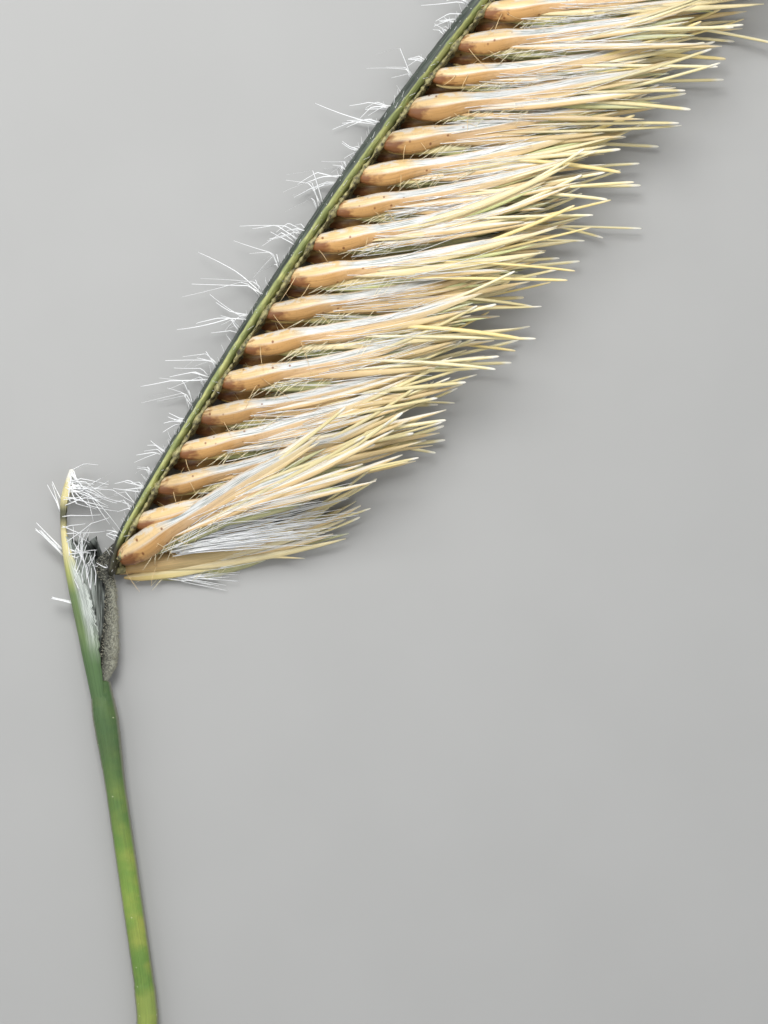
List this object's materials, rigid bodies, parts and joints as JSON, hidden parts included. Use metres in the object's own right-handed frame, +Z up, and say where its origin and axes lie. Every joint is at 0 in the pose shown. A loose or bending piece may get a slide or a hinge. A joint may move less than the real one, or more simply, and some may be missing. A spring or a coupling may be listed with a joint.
{
  "type": "blue grama seed head",
  "caption": "Dry comb-like grass seed head on a short cut stem, its awned spikelets all on one side of a slim curved axis.",
  "frame": {"origin": "middle of the outline, seen from above, on the surface that the seed head lies on", "axes": "+Y from the cut stem towards the tip of the head, +Z up from the surface, spikelets towards +X"},
  "size_m": [0.0204, 0.0316, 0.0024],
  "materials": {
    "stem_green": "smooth plant skin, satin",
    "bract_green": "thin dry leaf, satin",
    "foot_grey": "rough, bristly",
    "axis_green": "satin plant skin",
    "straw": "dry papery husk, soft sheen",
    "pale_straw": "dry papery husk, soft sheen"
  },
  "bodies": {
    "root": {"culm": "stem_green", "bract": "bract_green", "spike_foot": "foot_grey", "rachis": "axis_green", "spikelets_upper_row": "straw", "spikelets_lower_row": "pale_straw"}
  },
  "joints": []
}
